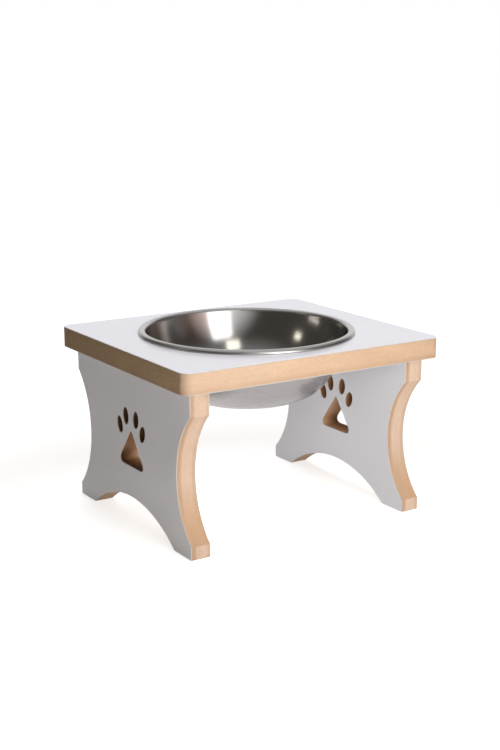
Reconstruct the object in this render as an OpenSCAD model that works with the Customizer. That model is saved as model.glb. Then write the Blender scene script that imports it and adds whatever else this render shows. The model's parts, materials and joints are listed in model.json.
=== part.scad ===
/* [Top] */
// Width of the top, left to right
top_w = 256; // [244:1:320]
// Depth of the top, front to back
top_d = 224; // [214:1:300]
// Radius of the four upright corners of the top
top_corner_r = 9; // [3:0.5:11]
// Overhang of the top past the legs, on every side
overhang = 11; // [4:0.5:16]

/* [Faced board] */
// Thickness of each board, both facings included
board_t = 18; // [15:0.5:24]
// Thickness of one white facing sheet
facing_t = 0.8; // [0.4:0.1:1.5]
// Strip of bare core left where a facing is trimmed back from an edge
facing_trim = 0.3; // [0.1:0.05:0.8]

/* [Leg] */
// Height of a leg, from the floor to the underside of the top
leg_h = 140; // [126:1:220]
// Length of the straight shoulder at the top of a leg
shoulder_h = 21; // [8:1:30]
// Height of the upright side of a foot
foot_h = 11; // [4:1:20]
// Length of a foot along the floor
foot_l = 28; // [20:1:45]
// How far each side of a leg is drawn in at the waist
waist_in = 23; // [10:1:32]
// Height of the arch between the two feet of a leg
arch_h = 25; // [12:1:34]

/* [Paw cut-out] */
// Height of the pad's flat base above the floor
pad_z = 52.4; // [44:0.2:60]
// Width of the pad
pad_w = 40.2; // [30:0.2:48]
// Height of the pad
pad_h = 31.2; // [26:0.2:33]
// Radius of the pad's two lower corners
pad_corner_r = 4.7; // [2:0.1:7]
// Radius of the pad's tip
pad_tip_r = 2.8; // [1.5:0.1:4.5]
// Width of a toe
toe_w = 9.8; // [7:0.1:11]
// Length of a toe
toe_l = 15; // [12:0.1:16]
// Sideways distance from the leg's centre line to an inner toe
inner_toe_y = 9; // [7:0.1:11]
// Height of an inner toe's centre above the pad's base
inner_toe_z = 43.4; // [42:0.1:48]
// Outward tilt of an inner toe, in degrees
inner_toe_tilt = 6.5; // [0:0.5:12]
// Sideways distance from the leg's centre line to an outer toe
outer_toe_y = 20.2; // [19.5:0.1:25]
// Height of an outer toe's centre above the pad's base
outer_toe_z = 33.4; // [31:0.1:36]
// Outward tilt of an outer toe, in degrees
outer_toe_tilt = 19; // [8:0.5:28]

/* [Bowl] */
// Outside diameter of the bowl's half-round rim
rim_d = 192; // [150:1:196]
// Depth of the bowl below the top face of the stand
bowl_depth = 60; // [48:1:70]
// Thickness of the steel sheet
steel_t = 0.8; // [0.5:0.1:1.2]
// Lean of the bowl's wall from the vertical just under the rim, in degrees
wall_lean = 10; // [7:0.5:12]
// Outside radius of the wall's own gentle curve, seen in section
wall_r = 110; // [95:5:160]
// Outside radius of the bend between the wall and the base
base_bend_r = 45; // [15:1:46]
// Radius of the half-round rim, whose edge turns down on to the top
rim_r = 3.4; // [2.6:0.1:4.2]

/* [Fits] */
// Room between the bowl's wall and the hole in the top
hole_room = 0.8; // [0.4:0.1:2]
// Room between the edge of the rim and the facing under it
rim_room = 0.3; // [0.2:0.05:0.6]
// Room round a dowel for glue
glue_room = 0.1; // [0.05:0.05:0.2]
// Room past each end of a dowel
dowel_end_room = 1; // [0.5:0.25:2]

/* [Dowels] */
// Diameter of a dowel
dowel_d = 8; // [5:0.5:9]
// Length of a dowel
dowel_l = 30; // [20:1:36]
// Length of a dowel that stands in the top
dowel_in_top = 11; // [8:0.5:13]
// Spacing of the dowels along a leg
dowel_pitch = 64; // [30:1:80]
// Chamfer on the ends of a dowel
dowel_chamfer = 1; // [0.3:0.1:2]
// Number of flutes round a dowel
flute_count = 12; // [6:1:16]
// Radius of the cutter that makes a flute
flute_r = 0.8; // [0.4:0.1:0.9]
// Depth of a flute
flute_depth = 0.4; // [0.2:0.1:0.5]

/* [Hidden] */
$fn = 96;

// Overlap that carries a cutter past the face it opens
past = 1;
core_t = board_t - 2 * facing_t;
top_z = leg_h + board_t;

// Leg outline: the waist is a circle through the shoulder and the foot, the arch one through both feet
leg_d = top_d - 2 * overhang;
leg_x = top_w / 2 - overhang;
waist_half = (leg_h - shoulder_h - foot_h) / 2;
waist_z = foot_h + waist_half;
waist_r = (pow(waist_half, 2) + pow(waist_in, 2)) / (2 * waist_in);
waist_y = leg_d / 2 - waist_in + waist_r;
arch_half = leg_d / 2 - foot_l;
arch_r = (pow(arch_half, 2) + pow(arch_h, 2)) / (2 * arch_h);

// Pad: three circles, and the direction in which the line that touches two of them faces
pad_corner_y = pad_w / 2 - pad_corner_r;
pad_side = [-pad_corner_y, pad_h - pad_tip_r - pad_corner_r];
pad_side_a = atan2(pad_side.y, pad_side.x) - acos((pad_corner_r - pad_tip_r) / norm(pad_side));

// Bowl section, food side: the curved wall touches the rim above and the bend below
wall_out = [cos(wall_lean), -sin(wall_lean)];
rim_c = [rim_d / 2 - rim_r, top_z + rim_room];
wall_top = rim_c - rim_r * wall_out;
wall_c = wall_top - (wall_r - steel_t) * wall_out;
base_z = top_z - bowl_depth;
bend_z = base_z + base_bend_r;
bend_c = [wall_c.x + sqrt(pow(wall_r - base_bend_r, 2) - pow(bend_z - wall_c.y, 2)), bend_z];
// Lean of the wall where it meets the bend
low_lean = atan2(wall_c.y - bend_c.y, bend_c.x - wall_c.x);

// The hole in the top clears the bowl's wall where the two are closest, at the top face
hole_r = wall_c.x + sqrt(pow(wall_r, 2) - pow(top_z - wall_c.y, 2)) + hole_room;

dowel_x = leg_x - board_t / 2;
dowel_z = leg_h + dowel_in_top - dowel_l;

// Points along an arc, leaving out the first ones where it carries on from another arc
function arc(c, r, from, to, steps, skip = 0) =
    [for (i = [skip:steps]) let (a = from + (to - from) * i / steps) c + r * [cos(a), sin(a)]];

module top_outline(inset) {
    w = top_w - 2 * inset;
    d = top_d - 2 * inset;
    r = top_corner_r - inset;
    square([w - 2 * r, d], center = true);
    square([w, d - 2 * r], center = true);
    for (x = [-1, 1], y = [-1, 1])
        translate([x * (w / 2 - r), y * (d / 2 - r)]) circle(r);
}

module toe(y, z, tilt, grow) {
    translate([y, z])
        rotate(-tilt)
            scale([(toe_w + 2 * grow) / (toe_l + 2 * grow), 1])
                circle(d = toe_l + 2 * grow);
}

module pad(grow) {
    corner = [pad_corner_y, pad_corner_r];
    tip = [0, pad_h - pad_tip_r];
    polygon(concat(
        arc(corner, pad_corner_r + grow, -90, pad_side_a, 8),
        arc(tip, pad_tip_r + grow, pad_side_a, 180 - pad_side_a, 8),
        arc([-corner.x, corner.y], pad_corner_r + grow, 180 - pad_side_a, 270, 8)
    ));
}

module paw(grow) {
    translate([0, pad_z]) {
        pad(grow);
        for (side = [-1, 1]) {
            toe(side * inner_toe_y, inner_toe_z, side * inner_toe_tilt, grow);
            toe(side * outer_toe_y, outer_toe_z, side * outer_toe_tilt, grow);
        }
    }
}

// Leg seen from its end: across is front to back, up is up
module leg_outline(inset) {
    difference() {
        translate([-leg_d / 2 + inset, inset])
            square([leg_d - 2 * inset, leg_h - 2 * inset]);
        for (side = [-1, 1])
            translate([side * waist_y, waist_z]) circle(waist_r + inset);
        translate([0, arch_h - arch_r]) circle(arch_r + inset);
        paw(inset);
    }
}

// One layer of a leg, from depth to depth + t behind the outer face of the leg on the +X side
module leg_layer(depth, t, inset) {
    translate([leg_x - depth - t, 0, 0])
        rotate([90, 0, 90])
            linear_extrude(t) leg_outline(inset);
}

module leg_board() {
    difference() {
        leg_layer(facing_t, core_t, 0);
        dowel_holes();
    }
}

module leg_outer_facing() {
    leg_layer(0, facing_t, facing_trim);
}

module leg_inner_facing() {
    leg_layer(board_t - facing_t, facing_t, facing_trim);
}

module dowel_holes() {
    for (place = [-1:1])
        translate([dowel_x, place * dowel_pitch, dowel_z - dowel_end_room])
            cylinder(d = dowel_d + 2 * glue_room, h = dowel_l + 2 * dowel_end_room);
}

module dowel(place) {
    r = dowel_d / 2;
    translate([dowel_x, place * dowel_pitch, dowel_z])
        difference() {
            rotate_extrude()
                polygon([
                    [0, 0], [r - dowel_chamfer, 0], [r, dowel_chamfer],
                    [r, dowel_l - dowel_chamfer], [r - dowel_chamfer, dowel_l], [0, dowel_l]
                ]);
            for (i = [0:flute_count - 1])
                rotate(i * 360 / flute_count)
                    translate([r + flute_r - flute_depth, 0, -past])
                        cylinder(r = flute_r, h = dowel_l + 2 * past, $fn = 24);
        }
}

// One layer of the top, with the hole for the bowl and the holes for the dowels of both legs
module top_layer(z, t, inset) {
    difference() {
        translate([0, 0, z])
            linear_extrude(t)
                difference() {
                    top_outline(inset);
                    circle(hole_r + inset);
                }
        dowel_holes();
        left() dowel_holes();
    }
}

module left() {
    mirror([1, 0, 0]) children();
}

module top_board() {
    color("burlywood") top_layer(leg_h + facing_t, core_t, 0);
}

module top_upper_facing() {
    color("white") top_layer(top_z - facing_t, facing_t, facing_trim);
}

module top_lower_facing() {
    color("white") top_layer(leg_h, facing_t, facing_trim);
}

module left_leg_board() {
    color("burlywood") left() leg_board();
}

module left_leg_outer_facing() {
    color("white") left() leg_outer_facing();
}

module left_leg_inner_facing() {
    color("white") left() leg_inner_facing();
}

module right_leg_board() {
    color("burlywood") leg_board();
}

module right_leg_outer_facing() {
    color("white") leg_outer_facing();
}

module right_leg_inner_facing() {
    color("white") leg_inner_facing();
}

module left_front_dowel() {
    color("tan") left() dowel(-1);
}

module left_middle_dowel() {
    color("tan") left() dowel(0);
}

module left_rear_dowel() {
    color("tan") left() dowel(1);
}

module right_front_dowel() {
    color("tan") dowel(-1);
}

module right_middle_dowel() {
    color("tan") dowel(0);
}

module right_rear_dowel() {
    color("tan") dowel(1);
}

module bowl() {
    turn = 180 - wall_lean;
    food_side = concat(
        arc(bend_c, base_bend_r - steel_t, -90, -low_lean, 10),
        arc(wall_c, wall_r - steel_t, -low_lean, -wall_lean, 8, skip = 1),
        arc(rim_c, rim_r, turn, 0, 16, skip = 1)
    );
    under_side = concat(
        arc(rim_c, rim_r - steel_t, 0, turn, 16),
        arc(wall_c, wall_r, -wall_lean, -low_lean, 8, skip = 1),
        arc(bend_c, base_bend_r, -low_lean, -90, 10, skip = 1)
    );
    color("silver")
        rotate_extrude()
            polygon(concat([[0, base_z + steel_t]], food_side, under_side, [[0, base_z]]));
}

top_board();
top_upper_facing();
top_lower_facing();
left_leg_board();
left_leg_outer_facing();
left_leg_inner_facing();
right_leg_board();
right_leg_outer_facing();
right_leg_inner_facing();
left_front_dowel();
left_middle_dowel();
left_rear_dowel();
right_front_dowel();
right_middle_dowel();
right_rear_dowel();
bowl();
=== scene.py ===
import bpy
import json
import math
from mathutils import Matrix, Vector

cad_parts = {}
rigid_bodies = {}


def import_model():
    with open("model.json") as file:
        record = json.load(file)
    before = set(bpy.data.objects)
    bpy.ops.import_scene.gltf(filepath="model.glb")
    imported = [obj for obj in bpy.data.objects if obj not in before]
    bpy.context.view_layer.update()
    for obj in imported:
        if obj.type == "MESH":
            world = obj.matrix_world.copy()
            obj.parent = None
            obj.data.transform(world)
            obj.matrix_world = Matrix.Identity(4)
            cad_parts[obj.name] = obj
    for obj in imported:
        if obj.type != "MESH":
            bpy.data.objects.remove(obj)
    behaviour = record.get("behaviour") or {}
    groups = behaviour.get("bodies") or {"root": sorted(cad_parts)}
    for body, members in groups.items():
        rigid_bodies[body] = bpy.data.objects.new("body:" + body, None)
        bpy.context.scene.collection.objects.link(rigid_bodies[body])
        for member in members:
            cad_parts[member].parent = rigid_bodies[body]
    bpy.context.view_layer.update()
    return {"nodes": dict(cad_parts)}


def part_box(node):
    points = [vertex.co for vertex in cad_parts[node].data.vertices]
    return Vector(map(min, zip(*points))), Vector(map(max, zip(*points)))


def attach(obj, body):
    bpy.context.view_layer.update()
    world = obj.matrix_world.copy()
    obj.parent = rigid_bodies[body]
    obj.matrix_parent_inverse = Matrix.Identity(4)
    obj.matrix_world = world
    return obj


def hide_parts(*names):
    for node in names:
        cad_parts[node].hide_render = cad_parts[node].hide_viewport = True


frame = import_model()
scene = bpy.context.scene
scene.view_settings.view_transform = "Standard"
mm = 0.001
hair = 0.001 * mm       # points closer than this count as one


# camera first, as solved from the photograph's edges
cameraSettings = {
    "place": (-607.3, -954.8, 393.5),   # mm
    "turn": -32.61,                     # degrees about the upright
    "dip": 13.68,                       # degrees below the horizon
    "focalPixels": 1305.0,
    "longSidePixels": 750,
    "sensor": 36.0,
    "nearest": 10,                      # mm
}


def makeCamera(s):
    bpy.ops.object.camera_add(
        location=[v * mm for v in s["place"]],
        rotation=(math.radians(90 - s["dip"]), 0, math.radians(s["turn"])),
    )
    camera = bpy.context.object
    camera.name = "photoCamera"
    camera.data.sensor_width = s["sensor"]
    camera.data.lens = s["focalPixels"] * s["sensor"] / s["longSidePixels"]
    camera.data.clip_start = s["nearest"] * mm
    scene.camera = camera


makeCamera(cameraSettings)
print("camera set")


# helpers for modelling by hand
def freshStart():
    bpy.ops.object.select_all(action="DESELECT")


def pick(piece):
    freshStart()
    piece.select_set(True)
    bpy.context.view_layer.objects.active = piece


def settle(piece):
    pick(piece)
    bpy.ops.object.transform_apply(location=True, rotation=True, scale=True)


def applyModifier(piece, modifier):
    pick(piece)
    bpy.ops.object.modifier_apply(modifier=modifier.name)


def cutWith(piece, cutter):
    saw = piece.modifiers.new("saw", "BOOLEAN")
    saw.operation = "DIFFERENCE"
    saw.solver = "EXACT"
    saw.object = cutter
    applyModifier(piece, saw)
    bpy.data.objects.remove(cutter, do_unlink=True)


def edgeEnds(mesh, edge):
    return [mesh.vertices[i].co for i in edge.vertices]


# bevel the edges that the test picks by the places of their two ends
def roundEdges(piece, offset, steps, test):
    pick(piece)
    bpy.ops.object.mode_set(mode="EDIT")
    bpy.ops.mesh.select_mode(type="EDGE")
    bpy.ops.mesh.select_all(action="DESELECT")
    bpy.ops.object.mode_set(mode="OBJECT")
    for edge in piece.data.edges:
        edge.select = test(*edgeEnds(piece.data, edge))
    bpy.ops.object.mode_set(mode="EDIT")
    bpy.ops.mesh.bevel(offset=offset, segments=steps, affect="EDGES")
    bpy.ops.object.mode_set(mode="OBJECT")


def sharpEdges(mesh, overAngle):
    normals = {}
    for face in mesh.polygons:
        for key in face.edge_keys:
            normals.setdefault(key, []).append(face.normal)
    limit = math.cos(math.radians(overAngle))
    pairs = [(edge, normals[edge.key]) for edge in mesh.edges]
    return [edge for edge, pair in pairs if len(pair) == 2 and pair[0].dot(pair[1]) < limit]


# where a bevel runs out of room it leaves faces with no area, and this takes them away
def weld(piece):
    pick(piece)
    bpy.ops.object.mode_set(mode="EDIT")
    bpy.ops.mesh.select_all(action="SELECT")
    bpy.ops.mesh.remove_doubles(threshold=hair)
    bpy.ops.object.mode_set(mode="OBJECT")


# ease only the sharp edges that the test picks by the places of their two ends
def easeEdges(piece, width, steps, overAngle, test):
    mesh = piece.data
    chosen = [e.index for e in sharpEdges(mesh, overAngle) if test(*edgeEnds(mesh, e))]
    weight = mesh.attributes.new("bevel_weight_edge", "FLOAT", "EDGE")
    for index in chosen:
        weight.data[index].value = 1.0
    ease = piece.modifiers.new("ease", "BEVEL")
    ease.width = width
    ease.segments = steps
    ease.limit_method = "WEIGHT"
    applyModifier(piece, ease)
    spent = piece.data.attributes.get("bevel_weight_edge")
    if spent:
        piece.data.attributes.remove(spent)
    weld(piece)


def smoothBelow(piece, angle):
    pick(piece)
    bpy.ops.object.shade_smooth_by_angle(angle=math.radians(angle))


def nameIt(piece, name):
    piece.name = name
    piece.data.name = name
    return piece


def addBlock(low, high):
    freshStart()
    middle = [(a + b) / 2 for a, b in zip(low, high)]
    bpy.ops.mesh.primitive_cube_add(size=1, location=middle)
    block = bpy.context.object
    block.scale = [b - a for a, b in zip(low, high)]
    settle(block)
    return block


def copyPiece(piece, name, shift, turn=0):
    pick(piece)
    bpy.ops.object.duplicate()
    twin = nameIt(bpy.context.object, name)
    twin.location = shift
    twin.rotation_euler.z = turn
    settle(twin)
    return twin


def dress(piece, materials, body, slotName, *nodes):
    piece.data.materials.clear()
    for material in materials:
        piece.data.materials.append(material)
    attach(piece, body)
    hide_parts(*nodes)


# helpers for shader trees
def newMaterial(name):
    material = bpy.data.materials.new(name)
    material.use_nodes = True
    tree = material.node_tree
    return material, tree, tree.nodes["Principled BSDF"]


def newGroup(name, inputs, outputs):
    group = bpy.data.node_groups.new(name, "ShaderNodeTree")
    for inOut, sockets in (("INPUT", inputs), ("OUTPUT", outputs)):
        for label, kind in sockets.items():
            group.interface.new_socket(
                name=label, in_out=inOut, socket_type=f"NodeSocket{kind}")
    entry = group.nodes.new("NodeGroupInput")
    leave = group.nodes.new("NodeGroupOutput")
    return group, entry.outputs, leave.inputs


def addNode(tree, kind, **values):
    node = tree.nodes.new(kind)
    for key, value in values.items():
        if key in node.inputs:
            node.inputs[key].default_value = value
        else:
            setattr(node, key, value)
    return node


def addMath(tree, operation, first, second=None, third=None, clamp=False):
    node = tree.nodes.new("ShaderNodeMath")
    node.operation = operation
    node.use_clamp = clamp
    for socket, value in zip(node.inputs, (first, second, third)):
        if value is None:
            continue
        if isinstance(value, (int, float)):
            socket.default_value = value
        else:
            tree.links.new(value, socket)
    return node.outputs[0]


# so much of the first, and the rest of the second
def addShares(tree, first, share, second):
    most = addMath(tree, "MULTIPLY", first, share)
    return addMath(tree, "ADD", most, addMath(tree, "MULTIPLY", second, 1 - share))


def addNoise(tree, vector, scale, detail, rough=0.5):
    node = addNode(tree, "ShaderNodeTexNoise", Scale=scale, Detail=detail, Roughness=rough)
    tree.links.new(vector, node.inputs["Vector"])
    return node.outputs["Fac"]


def addRange(tree, value, fromLow, fromHigh, toLow=0.0, toHigh=1.0, smooth=False):
    node = tree.nodes.new("ShaderNodeMapRange")
    node.interpolation_type = "SMOOTHSTEP" if smooth else "LINEAR"
    limits = {"From Min": fromLow, "From Max": fromHigh, "To Min": toLow, "To Max": toHigh}
    for key, limit in limits.items():
        node.inputs[key].default_value = limit
    tree.links.new(value, node.inputs["Value"])
    return node.outputs["Result"]


def addMix(tree, factor, first, second, blend="MIX"):
    node = tree.nodes.new("ShaderNodeMix")
    node.data_type = "RGBA"
    node.blend_type = blend
    sockets = [s for s in node.inputs if s.enabled]
    for socket, value in zip(sockets, (factor, first, second)):
        if isinstance(value, tuple):
            socket.default_value = (*value, 1)
        else:
            tree.links.new(value, socket)
    return [s for s in node.outputs if s.enabled][0]


def addBump(tree, height, strength, distance, surface):
    bump = addNode(tree, "ShaderNodeBump", Strength=strength, Distance=distance)
    tree.links.new(height, bump.inputs["Height"])
    tree.links.new(bump.outputs[0], surface.inputs["Normal"])


def objectPlace(tree):
    return tree.nodes.new("ShaderNodeTexCoord").outputs["Object"]


def splitPlace(tree, vector):
    split = tree.nodes.new("ShaderNodeSeparateXYZ")
    tree.links.new(vector, split.inputs[0])
    return split.outputs


# bare fibreboard: fine fibres, dark specks, a denser skin, and painted shade on the legs' lower
# waist and paw cut
fibreSettings = {
    "topLeft": (0.725, 0.510, 0.352),
    "topRight": (0.704, 0.472, 0.307),
    "topShadedEnd": (0.650, 0.452, 0.262),
    "topShadedEndDark": (0.530, 0.372, 0.216),
    "leftLeg": (0.706, 0.517, 0.386),
    "rightLeg": (0.760, 0.562, 0.423),
    "skin": (0.520, 0.312, 0.182),
    # painted shade on the lower waist and inside the paw cut, from light to dark
    "waistAndPawShade": (0.665, 0.424, 0.260),
    "pawShade": (0.395, 0.208, 0.104),
    "pawShadeDeep": (0.094, 0.040, 0.015),
    "speck": (0.330, 0.185, 0.100),
    "pale": (0.820, 0.640, 0.490),
    "fibres": (520, 6, 0.62),                   # noises: scale, detail, roughness
    "clumps": (120, 3),
    "drift": (26, 2),
    "specks": (1000, 2, 0.4),
    "blotches": (400, 3, 0.6),
    "paleRange": (0.50, 0.80, 0.0, 0.75),       # ranges: from, from, to, to
    "darkRange": (0.46, 0.22, 0.0, 0.55),
    "pawShadeRange": (0.0, 0.5),
    "pawShadeDeepRange": (0.5, 1.0),
    "speckRange": (0.645, 0.74, 0.0, 0.50),
    "pitRange": (0.62, 0.74, 0.0, 0.35),
    "driftRange": (0.3, 0.7, 0.95, 1.04),
    "blotchRange": (0.36, 0.62),
    "skinRough": (0.0, 1.0, 0.88, 0.70),
    "wander": (0.7, -0.35),                     # clumps, times and plus
    "mottle": (0.12, -0.06),
    "patchy": {"Skin": 0.85, "WaistAndPawShade": 0.95, "PawShade": 0.90},
    "fibreHeight": 0.7,
    "bump": (0.75, 0.3 * mm),
    "specular": 0.45,
}


def makeFibreGroup(s):
    group, entry, leave = newGroup(
        "fibreBoard",
        {"Place": "Vector", "Core": "Color", "Skin": "Float", "WaistAndPawShade": "Float", "PawShade": "Float"},
        {"Color": "Color", "Roughness": "Float", "Height": "Float"},
    )
    noises = ("fibres", "clumps", "drift", "specks")
    fibres, clumps, drift, specks = [addNoise(group, entry["Place"], *s[n]) for n in noises]
    wander = addMath(group, "MULTIPLY_ADD", clumps, *s["wander"])
    patchy = {}
    for mask, level in s["patchy"].items():
        uneven = addMath(group, "ADD", wander, level)
        patchy[mask] = addMath(group, "MULTIPLY", entry[mask], uneven, clamp=True)
    layers = (
        (addRange(group, fibres, *s["paleRange"]), "pale"),
        (patchy["Skin"], "skin"),
        # painted shade on the waist and paw cut, then deeper painted shade in the paw cut
        (patchy["WaistAndPawShade"], "waistAndPawShade"),
        (addRange(group, fibres, *s["darkRange"]), "skin"),
        (addRange(group, patchy["PawShade"], *s["pawShadeRange"]), "pawShade"),
        (addRange(group, patchy["PawShade"], *s["pawShadeDeepRange"]), "pawShadeDeep"),
        (addRange(group, specks, *s["speckRange"]), "speck"),
    )
    color = entry["Core"]
    for mask, tone in layers:
        color = addMix(group, mask, color, s[tone])
    mottle = addMath(group, "MULTIPLY_ADD", clumps, *s["mottle"])
    level = addMath(group, "ADD", addRange(group, drift, *s["driftRange"]), mottle)
    shade = addNode(group, "ShaderNodeHueSaturation")
    group.links.new(color, shade.inputs["Color"])
    group.links.new(level, shade.inputs["Value"])
    pits = addRange(group, specks, *s["pitRange"])
    height = addMath(group, "SUBTRACT", addMath(group, "MULTIPLY", fibres, s["fibreHeight"]), pits)
    group.links.new(shade.outputs["Color"], leave["Color"])
    group.links.new(addRange(group, patchy["Skin"], *s["skinRough"]), leave["Roughness"])
    group.links.new(height, leave["Height"])
    return group


fibreGroup = makeFibreGroup(fibreSettings)


# painted shade: darker and warmer on the lower waist, front and back, where it faces up under the
# top's overhang, and darker still inside the paw print's cut
def addRoutedShade(tree, parts, r, fibre):
    out = addMath(tree, "ABSOLUTE", parts["Y"])
    lower = addRange(tree, parts["Z"], *r["waistReach"], smooth=True)
    above = addMath(tree, "GREATER_THAN", parts["Z"], r["foot"])
    outer = addMath(tree, "GREATER_THAN", out, r["waistOut"])
    waist = addMath(tree, "MULTIPLY", lower, addMath(tree, "MULTIPLY", above, outer))
    inPaw = addMath(tree, "LESS_THAN", out, r["pawOut"])
    overArch = addMath(tree, "GREATER_THAN", parts["Z"], r["pawFoot"])
    underTop = addMath(tree, "LESS_THAN", parts["Z"], r["pawTop"])
    paw = addMath(tree, "MULTIPLY", inPaw, addMath(tree, "MULTIPLY", overArch, underTop))
    aside = addMath(tree, "ABSOLUTE", parts["X"])
    depth = addRange(tree, aside, *r["depthReach"], r["innerShade"], 1.0)
    pad = addRange(tree, parts["Z"], *r["padReach"], r["padShade"], r["tipShade"], smooth=True)
    pad = addMath(tree, "MULTIPLY", pad, depth)       # the painted shade is lighter toward the middle of the stand, where more light gets into the cut
    # square to the pad's sides, so that a whole side counts as pad
    beyond = addMath(tree, "MULTIPLY_ADD", out, r["padSlope"], parts["Z"])
    toe = addRange(tree, beyond, *r["toeReach"], 0.0, r["toeShade"], smooth=True)
    # painted shade in the paw cut, darkest low in the pad and toward the leg's outer face
    pawShading = addMath(tree, "MULTIPLY", paw, addMath(tree, "ADD", pad, toe))
    tree.links.new(addMath(tree, "MAXIMUM", waist, paw), fibre.inputs["WaistAndPawShade"])
    tree.links.new(pawShading, fibre.inputs["PawShade"])


def makeFibreboard(name, s, look, routed=None):
    material, tree, surface = newMaterial(name)
    place = objectPlace(tree)
    parts = splitPlace(tree, place)
    through = parts[look["axis"]]
    # fibres lie flat, so the grain is finer through the board
    stretch = tree.nodes.new("ShaderNodeMapping")
    stretch.inputs["Scale"].default_value[look["axis"]] = look["flatten"]
    tree.links.new(place, stretch.inputs["Vector"])
    grain = stretch.outputs[0]
    fibre = addNode(tree, "ShaderNodeGroup", node_tree=fibreGroup)
    fibre.inputs["Core"].default_value = (*look["core"], 1)
    tree.links.new(grain, fibre.inputs["Place"])
    if "side" in look:      # the front edge drifts from left to right; the left end is painted darker and yellower, painted shade where it faces away from the front light, and is blotchy
        along = addRange(tree, parts["X"], *look["coreReach"])
        front = addMix(tree, along, look["core"], look["coreRight"])
        blotch = addRange(tree, addNoise(tree, grain, *s["blotches"]), *s["blotchRange"])
        shadedLeftEnd = addMix(tree, blotch, *look["side"])
        aside = addRange(tree, parts["X"], *look["sideReach"], smooth=True)
        tree.links.new(addMix(tree, aside, front, shadedLeftEnd), fibre.inputs["Core"])
    skin = addRange(tree, through, *look["skin"], look["skinWeight"], 0.0, smooth=True)
    if "farSkin" in look:
        far = addRange(tree, through, *look["farSkin"], look["farWeight"], 0.0, smooth=True)
        skin = addMath(tree, "MAXIMUM", skin, far)
    tree.links.new(skin, fibre.inputs["Skin"])
    if routed:
        addRoutedShade(tree, parts, routed, fibre)
    tree.links.new(fibre.outputs["Color"], surface.inputs["Base Color"])
    tree.links.new(fibre.outputs["Roughness"], surface.inputs["Roughness"])
    addBump(tree, fibre.outputs["Height"], *s["bump"], surface)
    surface.inputs["Specular IOR Level"].default_value = s["specular"]
    return material


# white melamine: semi-gloss, faint orange peel, hardly any change of tone
melamineSettings = {
    "white": (0.838, 0.834, 0.864),
    "cloud": (0.824, 0.819, 0.851),
    "clouds": (18, 2),
    "cloudRange": (0.35, 0.7),
    "peel": (1500, 2),
    "peelBump": (0.04, 0.1 * mm),
    "cloudShare": 0.7,
    "rough": (0.35, 0.65, 0.13, 0.17),
    "ior": 1.5,
    "sawn": (0.640, 0.560, 0.500),
    "sawnDark": (0.520, 0.430, 0.360),
    "chips": (900, 4, 0.6),
    "chipRange": (0.35, 0.68),
    "chipBump": (0.3, 0.1 * mm),
    "sawnRough": (0.3, 0.7, 0.5, 0.75),
}


def makeMelamine(s):
    material, tree, surface = newMaterial("whiteMelamine")
    place = objectPlace(tree)
    clouds = addNoise(tree, place, *s["clouds"])
    peel = addNoise(tree, place, *s["peel"])
    color = addMix(tree, addRange(tree, clouds, *s["cloudRange"]), s["white"], s["cloud"])
    tree.links.new(color, surface.inputs["Base Color"])
    haze = addShares(tree, clouds, s["cloudShare"], peel)
    tree.links.new(addRange(tree, haze, *s["rough"]), surface.inputs["Roughness"])
    addBump(tree, peel, *s["peelBump"], surface)
    surface.inputs["IOR"].default_value = s["ior"]
    return material


def makeSawnFacing(s):
    material, tree, surface = newMaterial("sawnFacingEdge")
    chips = addNoise(tree, objectPlace(tree), *s["chips"])
    color = addMix(tree, addRange(tree, chips, *s["chipRange"]), s["sawn"], s["sawnDark"])
    tree.links.new(color, surface.inputs["Base Color"])
    tree.links.new(addRange(tree, chips, *s["sawnRough"]), surface.inputs["Roughness"])
    addBump(tree, chips, *s["chipBump"], surface)
    return material


# spun steel: rings left by the tool round the bowl's axis, with faint smears
spunSettings = {
    "fine": (2200, 3, 0.7),
    "broad": (300, 2),
    "fineShare": 0.6,
    "smears": (40, 4, 0.6),
    "markRange": (0.35, 0.65),
    "markShare": 0.6,
    "wearRange": (0.3, 0.7),
    "bumpReach": 0.05 * mm,
}
insideSteelSettings = {
    "name": "spunSteelInside",
    "bright": (0.592, 0.578, 0.570),
    "dull": (0.547, 0.533, 0.525),
    "rough": (0.13, 0.18),
    "ringDepth": 0.10,
}
rimSteelSettings = {
    "name": "rolledSteelRim",
    "bright": (0.592, 0.578, 0.570),
    "dull": (0.552, 0.538, 0.530),
    "rough": (0.26, 0.32),
    "ringDepth": 0.08,
}
# the outside is darker than the inside: painted shade, as the floor it mirrors under the top lies
# in shadow while the floor's glow does not darken there
outsideSteelSettings = {
    "name": "satinSteelOutside",
    "bright": (0.360, 0.347, 0.349),
    "dull": (0.317, 0.306, 0.308),
    "rough": (0.24, 0.33),
    "ringDepth": 0.25,
}


def makeRingGroup(s):
    group, entry, leave = newGroup(
        "spunRings", {"Place": "Vector"}, {"Rings": "Float", "Smears": "Float"})
    parts = splitPlace(group, entry["Place"])
    squares = [addMath(group, "POWER", parts[k], 2.0) for k in ("X", "Y")]
    across = addMath(group, "SQRT", addMath(group, "ADD", *squares))
    section = group.nodes.new("ShaderNodeCombineXYZ")
    group.links.new(across, section.inputs["X"])
    group.links.new(parts["Z"], section.inputs["Y"])
    fine = addNoise(group, section.outputs[0], *s["fine"])
    broad = addNoise(group, section.outputs[0], *s["broad"])
    group.links.new(addShares(group, fine, s["fineShare"], broad), leave["Rings"])
    group.links.new(addNoise(group, entry["Place"], *s["smears"]), leave["Smears"])
    return group


ringGroup = makeRingGroup(spunSettings)


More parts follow.
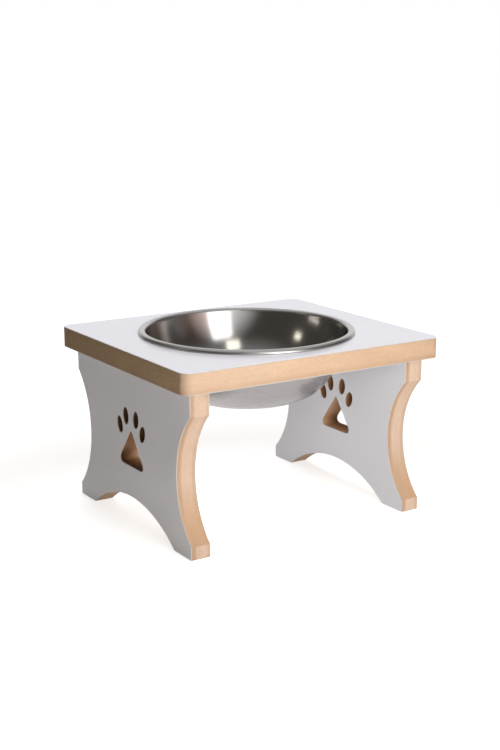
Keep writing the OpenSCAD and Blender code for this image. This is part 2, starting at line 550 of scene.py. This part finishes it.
def makeSteel(steel, s):
    material, tree, surface = newMaterial(steel["name"])
    rings = addNode(tree, "ShaderNodeGroup", node_tree=ringGroup)
    tree.links.new(objectPlace(tree), rings.inputs["Place"])
    marks, smears = rings.outputs["Rings"], rings.outputs["Smears"]
    color = addMix(tree, addRange(tree, marks, *s["markRange"]), steel["bright"], steel["dull"])
    tree.links.new(color, surface.inputs["Base Color"])
    wear = addShares(tree, marks, s["markShare"], smears)
    rough = addRange(tree, wear, *s["wearRange"], *steel["rough"])
    tree.links.new(rough, surface.inputs["Roughness"])
    addBump(tree, marks, steel["ringDepth"], s["bumpReach"], surface)
    surface.inputs["Metallic"].default_value = 1.0
    return material


# beech: long grain up the dowel, short dark flecks
beechSettings = {
    "pale": (0.62, 0.42, 0.24),
    "grain": (0.50, 0.31, 0.16),
    "fleck": (0.30, 0.17, 0.08),
    "squeeze": (9.0, 9.0, 1.0),
    "grains": (130, 4),
    "grainRange": (0.3, 0.7),
    "flecks": (420, 2),
    "fleckRange": (0.62, 0.72, 0.0, 0.6),
    "rough": (0.55, 0.75),
    "bump": (0.3, 0.1 * mm),
}


def makeBeech(s):
    material, tree, surface = newMaterial("beechDowel")
    stretch = addNode(tree, "ShaderNodeMapping", Scale=s["squeeze"])
    tree.links.new(objectPlace(tree), stretch.inputs["Vector"])
    grain = addNoise(tree, stretch.outputs[0], *s["grains"])
    flecks = addNoise(tree, stretch.outputs[0], *s["flecks"])
    color = addMix(tree, addRange(tree, grain, *s["grainRange"]), s["pale"], s["grain"])
    color = addMix(tree, addRange(tree, flecks, *s["fleckRange"]), color, s["fleck"])
    tree.links.new(color, surface.inputs["Base Color"])
    rough = addRange(tree, grain, *s["grainRange"], *s["rough"])
    tree.links.new(rough, surface.inputs["Roughness"])
    addBump(tree, grain, *s["bump"], surface)
    return material


# how the top's and the legs' boards differ, and where the painted shade on the legs' waist and paw
# cut falls
topLow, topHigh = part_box("top_board")
topLook = {
    "core": fibreSettings["topLeft"],
    "coreRight": fibreSettings["topRight"],
    "coreReach": (-90 * mm, 60 * mm),
    # the top's left end: painted shade, darker and yellower than the front edge
    "side": (fibreSettings["topShadedEnd"], fibreSettings["topShadedEndDark"]),
    "sideReach": (-127.2 * mm, -127.95 * mm),
    "axis": 2,
    "flatten": 3.6,
    "skin": (topLow.z, topLow.z + 6 * mm),
    "skinWeight": 0.55,
}
legLook = {
    "axis": 0,
    "flatten": 3.6,
    "skinIn": (1.6 * mm, 5.2 * mm),         # from the board's left face
    "skinWeight": 0.95,
    "farSkinIn": (0.8 * mm, 4.4 * mm),      # from its right face
    "farWeight": 0.45,
}
routedParts = {
    "waistReach": (62 * mm, 20 * mm),
    "waistOut": 74 * mm,
    "foot": 11.2 * mm,
    "depthReach": (101 * mm, 116 * mm),
    "innerShade": 0.05,
    "padReach": (54 * mm, 70 * mm),
    "padSlope": 1.53,
    "toeReach": (90 * mm, 97 * mm),
    "pawOut": 30 * mm,
    "pawFoot": 45 * mm,
    "pawTop": 115 * mm,
}
# how dark the painted shade in each leg's paw cut is
legShades = {
    "left": {"padShade": 1.25, "tipShade": 0.68, "toeShade": 1.1},
    "right": {"padShade": 1.05, "tipShade": 0.50, "toeShade": 0.52},
}


def makeLegFibre(side, s, look, routed):
    low, high = [corner.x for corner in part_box(f"{side}_leg_board")]
    own = {
        "core": s[f"{side}Leg"],
        "skin": [low + v for v in look["skinIn"]],
        "farSkin": [high - v for v in look["farSkinIn"]],
    }
    return makeFibreboard(f"{side}LegFibreboard", s, {**look, **own}, routed)


topFibre = makeFibreboard("topFibreboard", fibreSettings, topLook)
legFibres = {}
for side, shades in legShades.items():
    legFibres[side] = makeLegFibre(side, fibreSettings, legLook, {**routedParts, **shades})
melamine = makeMelamine(melamineSettings)
sawnFacing = makeSawnFacing(melamineSettings)
insideSteel = makeSteel(insideSteelSettings, spunSettings)
rimSteel = makeSteel(rimSteelSettings, spunSettings)
outsideSteel = makeSteel(outsideSteelSettings, spunSettings)
beech = makeBeech(beechSettings)
print("finishes made")


# the white sheets on all three boards
sheetSettings = {
    "trim": 0.08 * mm,          # they stop just short of the sawn edge
    "ease": 0.16 * mm,
    "easeSteps": 2,
    "easeOver": 40,             # degrees
    "smoothBelow": 20,
    "sawnLean": 0.35,           # a face that leans out less than this is the cut edge
}


def easeSheet(sheet, axis, level, s):
    def onFace(a, b):
        return abs(a[axis] - level) + abs(b[axis] - level) < hair
    easeEdges(sheet, s["ease"], s["easeSteps"], s["easeOver"], onFace)
    smoothBelow(sheet, s["smoothBelow"])


# the cut edge takes the second material
def dressSheet(sheet, axis, node, s):
    dress(sheet, [melamine, sawnFacing], "stand", "facing", node)
    for face in sheet.data.polygons:
        face.material_index = 1 if abs(face.normal[axis]) < s["sawnLean"] else 0


# the top: rounded upright corners, a round hole for the bowl, faced above and below
topSettings = {
    "cornerRadius": 9 * mm,
    "cornerSteps": 18,
    "holeRadius": 90.70 * mm,
    "holeSides": 256,
    "holeCut": 200 * mm,        # length of the cutter
    "smoothBelow": 20,
}


def makeTopLayer(name, low, high, trim, s):
    layer = addBlock(low, high)
    halfThick = (high.z - low.z) / 2
    roundEdges(layer, s["cornerRadius"] - trim, s["cornerSteps"],
               lambda a, b: abs(a.z - b.z) > halfThick)
    freshStart()
    bpy.ops.mesh.primitive_cylinder_add(
        vertices=s["holeSides"], radius=s["holeRadius"] + trim,
        depth=s["holeCut"], location=(0, 0, low.z))
    cutWith(layer, bpy.context.object)
    return nameIt(layer, name)


def buildTop(s, sheet):
    core = makeTopLayer("topBoard", topLow, topHigh, 0, s)
    smoothBelow(core, s["smoothBelow"])
    dress(core, [topFibre], "stand", "board", "top_board")
    inset = Vector((sheet["trim"], sheet["trim"], 0))
    for side in ("upper", "lower"):
        low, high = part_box(f"top_{side}_facing")
        low = Vector((topLow.x, topLow.y, low.z)) + inset
        high = Vector((topHigh.x, topHigh.y, high.z)) - inset
        facing = makeTopLayer(f"top{side.title()}Facing", low, high, sheet["trim"], s)
        easeSheet(facing, 2, high.z if side == "upper" else low.z, sheet)
        dressSheet(facing, 2, f"top_{side}_facing", sheet)


buildTop(topSettings, sheetSettings)
print("top built")


# the legs: waisted sides, arch between the feet, paw print cut right through
legSettings = {
    "shoulder": 21 * mm,
    "footSide": 11 * mm,
    "footLength": 28 * mm,
    "waistIn": 23 * mm,
    "archHeight": 25 * mm,
    "roundSides": 384,
    "footTop": 5 * mm,          # lower edges belong to the feet
    "cornerEase": 1.3 * mm,     # the feet's corners are a little sanded
    "cornerSteps": 3,
    "cornerOver": 30,           # degrees
    "kinkEase": 2.4 * mm,       # the router has rounded where the waist meets shoulder and foot
    "kinkSteps": 6,
    "kinkOver": 15,
    "jointRoom": 1 * mm,        # the edges under the top stay sharp
    "smoothBelow": 20,
}
pawSettings = {
    "padBase": 52.4 * mm,
    "padWidth": 40.2 * mm,
    "padHeight": 31.2 * mm,
    "padCorner": 4.7 * mm,
    "padTip": 2.8 * mm,
    "cornerSteps": 14,
    "toeWidth": 9.8 * mm,
    "toeLength": 15 * mm,
    "toeSides": 72,
    "toes": ((9.0 * mm, 43.4 * mm, 6.5), (20.2 * mm, 33.4 * mm, 19.0)),   # out, up, tilt in degrees
}
cutLength = 60 * mm
# a cutter's x goes to front-back, its y to up, and its z through the leg
acrossLeg = Matrix(((0, 0, 1, 0), (1, 0, 0, 0), (0, 1, 0, 0), (0, 0, 0, 1)))


def addCutter(sides, radius, place, shape):
    freshStart()
    bpy.ops.mesh.primitive_cylinder_add(vertices=sides, radius=radius, depth=cutLength)
    cutter = bpy.context.object
    cutter.matrix_world = Matrix.Translation(place) @ acrossLeg @ shape
    settle(cutter)
    return cutter


def addRound(radius, sides, x, y, z):
    return addCutter(sides, radius, (x, y, z), Matrix())


def addToe(p, x, out, up, tilt, trim):
    size = Matrix.Diagonal((p["toeWidth"] + 2 * trim, p["toeLength"] + 2 * trim, 1, 1))
    lean = Matrix.Rotation(math.radians(-tilt), 4, "Z")
    return addCutter(p["toeSides"], 0.5, (x, out, p["padBase"] + up), lean @ size)


def runsThrough(a, b):
    return abs(a.y - b.y) + abs(a.z - b.z) < hair


def addPad(p, x, trim):
    corner = p["padCorner"] + trim
    tip = p["padTip"] + trim
    cornerOut = p["padWidth"] / 2 - p["padCorner"]
    rise = p["padHeight"] - p["padTip"] - p["padCorner"]
    turn = math.acos((p["padCorner"] - p["padTip"]) / math.hypot(cornerOut, rise))
    slope = math.atan2(rise, -cornerOut) - turn
    # where the straight sides would meet without their rounding
    reach = cornerOut * math.cos(slope) + corner
    halfBase = (reach + corner * math.sin(slope)) / math.cos(slope)
    height = reach / math.sin(slope) + corner
    # a three-sided cylinder of radius 1 is 1.5 high, and sin 60 wide on each side
    size = Matrix.Diagonal((halfBase / math.sin(math.radians(60)), height / 1.5, 1, 1))
    middle = p["padBase"] + p["padCorner"] - corner + height / 3
    cutter = addCutter(3, 1, (x, 0, middle), size)
    halfTip = math.atan2(halfBase, height)
    tipOffset = tip / math.tan(halfTip)
    cornerOffset = corner / math.tan((math.pi / 2 - halfTip) / 2)
    high = middle + height / 3
    roundEdges(cutter, tipOffset, p["cornerSteps"], lambda a, b: runsThrough(a, b) and a.z > high)
    roundEdges(cutter, cornerOffset, p["cornerSteps"],
               lambda a, b: runsThrough(a, b) and a.z <= high)
    return cutter


# radius of an arc, from half its chord and its rise
def arcRadius(half, rise):
    return (half ** 2 + rise ** 2) / (2 * rise)


def makeLegLayer(name, node, trim, s, p):
    coreLow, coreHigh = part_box("left_leg_board")
    nodeLow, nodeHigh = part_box(node)
    low = Vector((nodeLow.x, coreLow.y + trim, coreLow.z + trim))
    high = Vector((nodeHigh.x, coreHigh.y - trim, coreHigh.z - trim))
    layer = addBlock(low, high)
    x = (low.x + high.x) / 2
    waistHalf = (coreHigh.z - s["shoulder"] - s["footSide"]) / 2
    waistRadius = arcRadius(waistHalf, s["waistIn"])
    waistOut = coreHigh.y - s["waistIn"] + waistRadius
    waistUp = s["footSide"] + waistHalf
    archRadius = arcRadius(coreHigh.y - s["footLength"], s["archHeight"])
    archUp = s["archHeight"] - archRadius
    for y in (-waistOut, waistOut):
        cutWith(layer, addRound(waistRadius + trim, s["roundSides"], x, y, waistUp))
    cutWith(layer, addRound(archRadius + trim, s["roundSides"], x, 0, archUp))
    kinkTop = coreHigh.z - s["jointRoom"]
    easeEdges(layer, s["kinkEase"], s["kinkSteps"], s["kinkOver"],
              lambda a, b: runsThrough(a, b) and s["footTop"] < a.z < kinkTop)
    easeEdges(layer, s["cornerEase"], s["cornerSteps"], s["cornerOver"],
              lambda a, b: runsThrough(a, b) and a.z < s["footTop"])
    cutWith(layer, addPad(p, x, trim))
    for out, up, tilt in p["toes"]:
        for side in (-1, 1):
            cutWith(layer, addToe(p, x, side * out, up, side * tilt, trim))
    return nameIt(layer, name)


def buildLegs(s, p, sheet):
    core = makeLegLayer("leftLegBoard", "left_leg_board", 0, s, p)
    smoothBelow(core, s["smoothBelow"])
    outer = makeLegLayer("leftLegOuterFacing", "left_leg_outer_facing", sheet["trim"], s, p)
    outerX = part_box("left_leg_outer_facing")[0].x
    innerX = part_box("left_leg_inner_facing")[1].x
    easeSheet(outer, 0, outerX, sheet)
    # one sheet serves all four faces: turned about for the leg's other face,
    # carried across for the right leg
    inner = copyPiece(outer, "leftLegInnerFacing", (outerX + innerX, 0, 0), math.pi)
    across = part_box("right_leg_board")[0].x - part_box("left_leg_board")[0].x
    rightCore = copyPiece(core, "rightLegBoard", (across, 0, 0))
    rightOuter = copyPiece(inner, "rightLegOuterFacing", (across, 0, 0))
    rightInner = copyPiece(outer, "rightLegInnerFacing", (across, 0, 0))
    dress(core, [legFibres["left"]], "stand", "board", "left_leg_board")
    dress(rightCore, [legFibres["right"]], "stand", "board", "right_leg_board")
    dressSheet(outer, 0, "left_leg_outer_facing", sheet)
    dressSheet(inner, 0, "left_leg_inner_facing", sheet)
    dressSheet(rightOuter, 0, "right_leg_outer_facing", sheet)
    dressSheet(rightInner, 0, "right_leg_inner_facing", sheet)


buildLegs(legSettings, pawSettings, sheetSettings)
print("legs built")


# the bowl: a disc drawn out ring by ring to the half-round rim, then given its thickness
bowlSettings = {
    "rimRadius": 96 * mm,
    "depth": 60 * mm,            # below the top face of the stand
    "sheet": 0.8 * mm,
    "lean": 10,                  # degrees, just under the rim
    "wallRadius": 110 * mm,
    "bendRadius": 45 * mm,
    "rimRound": 3.4 * mm,
    "seatRoom": 0.3 * mm,
    "sides": 256,
    "baseRings": 8,
    "bendSteps": 26,
    "wallSteps": 22,
    "rimSteps": 36,
    "smoothBelow": 40,
}


def arcPoints(centre, radius, start, end, steps):
    angles = [math.radians(start + (end - start) * i / steps) for i in range(steps + 1)]
    return [(centre[0] + radius * math.cos(a), centre[1] + radius * math.sin(a)) for a in angles]


def bowlSection(s, topZ):
    lean = math.radians(s["lean"])
    rim = (s["rimRadius"] - s["rimRound"], topZ + s["seatRoom"])
    back = s["rimRound"] + s["wallRadius"] - s["sheet"]
    wall = (rim[0] - back * math.cos(lean), rim[1] + back * math.sin(lean))
    bendZ = topZ - s["depth"] + s["bendRadius"]
    between = s["wallRadius"] - s["bendRadius"]      # the bend's arc runs on from the wall's
    bend = (wall[0] + math.sqrt(between ** 2 - (bendZ - wall[1]) ** 2), bendZ)
    lowLean = math.degrees(math.atan2(wall[1] - bend[1], bend[0] - wall[0]))
    low = arcPoints(bend, s["bendRadius"] - s["sheet"], -90, -lowLean, s["bendSteps"])
    side = arcPoints(wall, s["wallRadius"] - s["sheet"], -lowLean, -s["lean"], s["wallSteps"])
    top = arcPoints(rim, s["rimRound"], 180 - s["lean"], 0, s["rimSteps"])
    rings = s["baseRings"]
    flat = [(bend[0] * k / rings, low[0][1]) for k in range(1, rings)]
    return flat + low + side[1:] + top[1:]


def buildBowl(s):
    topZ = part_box("top_upper_facing")[1].z
    section = bowlSection(s, topZ)
    freshStart()
    bpy.ops.mesh.primitive_circle_add(
        vertices=s["sides"], radius=section[0][0],
        fill_type="TRIFAN", location=(0, 0, section[0][1]))
    bowl = bpy.context.object
    settle(bowl)
    bpy.ops.object.mode_set(mode="EDIT")
    bpy.ops.mesh.select_mode(type="EDGE")
    bpy.ops.mesh.select_all(action="SELECT")
    bpy.ops.mesh.region_to_loop()
    for (r0, z0), (r1, z1) in zip(section, section[1:]):
        bpy.ops.mesh.extrude_edges_move(TRANSFORM_OT_translate={"value": (0, 0, z1 - z0)})
        bpy.ops.transform.resize(value=(r1 / r0, r1 / r0, 1), center_override=(0, 0, z1))
    bpy.ops.mesh.select_all(action="SELECT")
    bpy.ops.mesh.normals_make_consistent(inside=False)
    bpy.ops.object.mode_set(mode="OBJECT")
    nameIt(bowl, "steelBowl")
    bowl.data.materials.append(insideSteel)
    bowl.data.materials.append(outsideSteel)
    wall = bowl.modifiers.new("sheet", "SOLIDIFY")
    wall.thickness = s["sheet"]
    wall.offset = -1
    wall.use_even_offset = True
    wall.material_offset = 1        # the outside takes the second steel
    applyModifier(bowl, wall)
    bowl.data.materials.append(rimSteel)
    rimFoot = topZ + s["seatRoom"]
    for face in bowl.data.polygons:
        if face.material_index == 0 and face.center.z > rimFoot:
            face.material_index = 2
    smoothBelow(bowl, s["smoothBelow"])
    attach(bowl, "bowl")
    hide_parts("bowl")


buildBowl(bowlSettings)
print("bowl built")

for side in ("left", "right"):
    for place in ("front", "middle", "rear"):
        dowel = frame["nodes"][f"{side}_{place}_dowel"]
        dowel.data.materials.clear()
        dowel.data.materials.append(beech)
print("dowels dressed")


# studio: white floor, a dark room with a few pale patches for the steel to mirror
studioSettings = {
    "floorSize": 40.0,
    "floorDrop": 0.2 * mm,
    "floorMiddle": (-0.06, -0.16, 0),    # palest here, toward the front and left
    "floorNear": (0.90, 0.86, 0.815),
    "floorFar": (0.25, 0.230, 0.205),
    "floorReach": (0.15, 0.39),
    "glow": (0.68, 1.0),             # what camera and mirrors see on top of the lit floor
    "glowReach": (0.1, 0.5),
    "dark": (0.070, 0.063, 0.056),   # the room, as mirrors see it
    "pale": (1.0, 1.0, 1.0),
    "lobes": (
        {"azimuth": 145, "elevation": 14, "inner": 16, "outer": 50, "level": 0.92},     # backdrop
        {"azimuth": 120, "elevation": 79, "inner": 15, "outer": 63, "level": 0.62},     # ceiling
        {"azimuth": -60, "elevation": 84, "inner": 10, "outer": 54, "level": 0.42},     # its front
        {"azimuth": -2, "elevation": -11, "inner": 12, "outer": 54, "level": 0.98},     # front glow
        {"azimuth": 52, "elevation": 3, "inner": 3, "outer": 20, "level": 0.13},        # side glow
    ),
    "warmth": {"azimuth": 34, "elevation": 8, "inner": 7, "outer": 28, "level": 1.0},
    "warmColor": (1.0, 0.75, 0.68),
    "fillLeft": (0.023, 0.019, 0.013),
    "fillRight": (0.150, 0.148, 0.150),
    "fillReach": (-0.6, 0.7),
}


def heading(azimuth, elevation):
    a, e = math.radians(azimuth), math.radians(elevation)
    return Vector((math.sin(a) * math.cos(e), -math.cos(a) * math.cos(e), math.sin(e)))


def seenRays(tree):
    rays = tree.nodes.new("ShaderNodeLightPath").outputs
    seen = addMath(tree, "ADD", rays["Is Camera Ray"], rays["Is Glossy Ray"])
    return rays, addMath(tree, "ADD", seen, rays["Is Transmission Ray"], clamp=True)


def makeFloor(s):
    freshStart()
    bpy.ops.mesh.primitive_plane_add(size=s["floorSize"], location=(0, 0, -s["floorDrop"]))
    floor = nameIt(bpy.context.object, "studioFloor")
    material, tree, surface = newMaterial("paleFloor")
    tree.nodes.remove(surface)
    place = objectPlace(tree)
    lit = tree.nodes.new("ShaderNodeBsdfDiffuse")
    apart = addNode(tree, "ShaderNodeVectorMath", operation="DISTANCE")
    tree.links.new(place, apart.inputs[0])
    apart.inputs[1].default_value = s["floorMiddle"]
    farther = addRange(tree, apart.outputs["Value"], *s["floorReach"], smooth=True)
    tree.links.new(addMix(tree, farther, s["floorNear"], s["floorFar"]), lit.inputs["Color"])
    glow = addNode(tree, "ShaderNodeEmission", Color=(1, 1, 1, 1))
    away = addNode(tree, "ShaderNodeVectorMath", operation="LENGTH")
    tree.links.new(place, away.inputs[0])
    level = addRange(tree, away.outputs["Value"], *s["glowReach"], *s["glow"], smooth=True)
    seen = seenRays(tree)[1]
    tree.links.new(addMath(tree, "MULTIPLY", seen, level), glow.inputs["Strength"])
    both = tree.nodes.new("ShaderNodeAddShader")
    tree.links.new(lit.outputs[0], both.inputs[0])
    tree.links.new(glow.outputs[0], both.inputs[1])
    # clear from below, so that the underside shows
    below = tree.nodes.new("ShaderNodeNewGeometry").outputs["Backfacing"]
    clear = tree.nodes.new("ShaderNodeBsdfTransparent")
    either = tree.nodes.new("ShaderNodeMixShader")
    for socket, value in zip(either.inputs, (below, both.outputs[0], clear.outputs[0])):
        tree.links.new(value, socket)
    tree.links.new(either.outputs[0], tree.nodes["Material Output"].inputs["Surface"])
    floor.data.materials.append(material)


def addLobe(tree, direction, s):
    toward = addNode(tree, "ShaderNodeVectorMath", operation="DOT_PRODUCT")
    tree.links.new(direction, toward.inputs[0])
    toward.inputs[1].default_value = heading(s["azimuth"], s["elevation"])
    edges = [math.cos(math.radians(s[k])) for k in ("outer", "inner")]
    return addRange(tree, toward.outputs["Value"], *edges, 0.0, s["level"], smooth=True)


def makeSurround(s):
    world = bpy.data.worlds.new("studio")
    scene.world = world
    world.use_nodes = True
    tree = world.node_tree
    background = tree.nodes["Background"]
    direction = tree.nodes.new("ShaderNodeTexCoord").outputs["Generated"]
    parts = splitPlace(tree, direction)
    rays, seen = seenRays(tree)
    camera = rays["Is Camera Ray"]
    bright = camera
    for lobe in s["lobes"]:
        bright = addMath(tree, "MAXIMUM", bright, addLobe(tree, direction, lobe))
    room = addMix(tree, bright, s["dark"], s["pale"])
    warm = addMath(tree, "SUBTRACT", addLobe(tree, direction, s["warmth"]), camera, clamp=True)
    room = addMix(tree, warm, room, s["warmColor"], "MULTIPLY")
    right = addRange(tree, parts["X"], *s["fillReach"], smooth=True)
    fill = addMix(tree, right, s["fillLeft"], s["fillRight"])
    tree.links.new(addMix(tree, seen, fill, room), background.inputs["Color"])
    background.inputs["Strength"].default_value = 1.0


# a softbox in front that only the bowl mirrors, cards that nothing mirrors, small lamps further off
softWhite = (1, 0.985, 0.97)
frontPlace = {"place": (0.0365, -0.62, 0.31), "aim": (0.0365, 0, 0.31), "size": (0.323, 0.56)}
lampSettings = (
    {"name": "frontSoftbox", **frontPlace, "watts": 1.27, "color": softWhite,
     "onlyFor": "steelBowl"},
    {"name": "frontCard", **frontPlace, "watts": 1.80, "color": softWhite,
     "mirrored": False},
    {"name": "highBackLamp", "place": (0.18, 0.37, 1.35), "aim": (0, 0, 0.1),
     "size": (0.7, 0.7), "watts": 12.3, "color": (0.95, 0.94, 1), "mirrored": False},
    {"name": "lowCard", "place": (-0.05, -0.48, 0.04), "aim": (0.05, 0, 0.07),
     "size": (0.12, 0.07), "watts": 0.27, "color": (0.92, 0.96, 1), "mirrored": False},
    {"name": "leftCard", "place": (-0.275, -0.62, 0.30), "aim": (0, 0, 0.08),
     "size": (0.30, 0.35), "watts": 1.12, "color": softWhite, "mirrored": False},
    {"name": "backCard", "place": (0.17, 0.62, 0.12), "aim": (0, 0, 0.08),
     "size": (0.30, 0.20), "watts": 0.95, "color": softWhite, "mirrored": False},
    {"name": "rightCard", "place": (0.70, -0.06, 0.14), "aim": (0, -0.06, 0.10),
     "size": (0.30, 0.20), "watts": 0.65, "color": softWhite, "mirrored": False},
    {"name": "innerFill", "place": (-0.085, 0.01, 0.055), "aim": (0.1, 0.01, 0.055),
     "size": (0.17, 0.09), "watts": 0.044, "color": (0.90, 0.95, 1), "mirrored": False},
    {"name": "farLampLeft", "place": (-1.365, 0.356, 0.772), "aim": (0, 0, 0.14),
     "size": (0.22, 0.135), "watts": 0.23, "color": (1, 0.96, 0.80)},
    {"name": "farLampRear", "place": (-1.36, 0.82, 0.34), "aim": (0, 0, 0.14),
     "size": (0.44, 0.06), "watts": 0.14, "color": (1, 0.95, 0.84)},
    {"name": "farLampFront", "place": (-0.225, -1.145, 1.211), "aim": (0, 0, 0.14),
     "size": (0.43, 0.25), "watts": 0.78, "color": (1, 0.99, 0.86)},
)


def addLamp(s):
    freshStart()
    bpy.ops.object.light_add(type="AREA", location=s["place"])
    lamp = bpy.context.object
    lamp.name = s["name"]
    away = Vector(s["place"]) - Vector(s["aim"])
    lamp.rotation_euler = away.to_track_quat("Z", "Y").to_euler()
    lamp.data.shape = "RECTANGLE"
    lamp.data.size, lamp.data.size_y = s["size"]
    lamp.data.energy = s["watts"]
    lamp.data.color = s["color"]
    lamp.visible_camera = False
    lamp.visible_glossy = s.get("mirrored", True)
    if "onlyFor" in s:       # else the glossy top mirrors it too and goes blank white from behind
        lit = bpy.data.collections.new(s["name"] + "Lit")
        lit.objects.link(bpy.data.objects[s["onlyFor"]])
        lamp.light_linking.receiver_collection = lit


makeFloor(studioSettings)
makeSurround(studioSettings)
for lamp in lampSettings:
    addLamp(lamp)
print("studio lit")
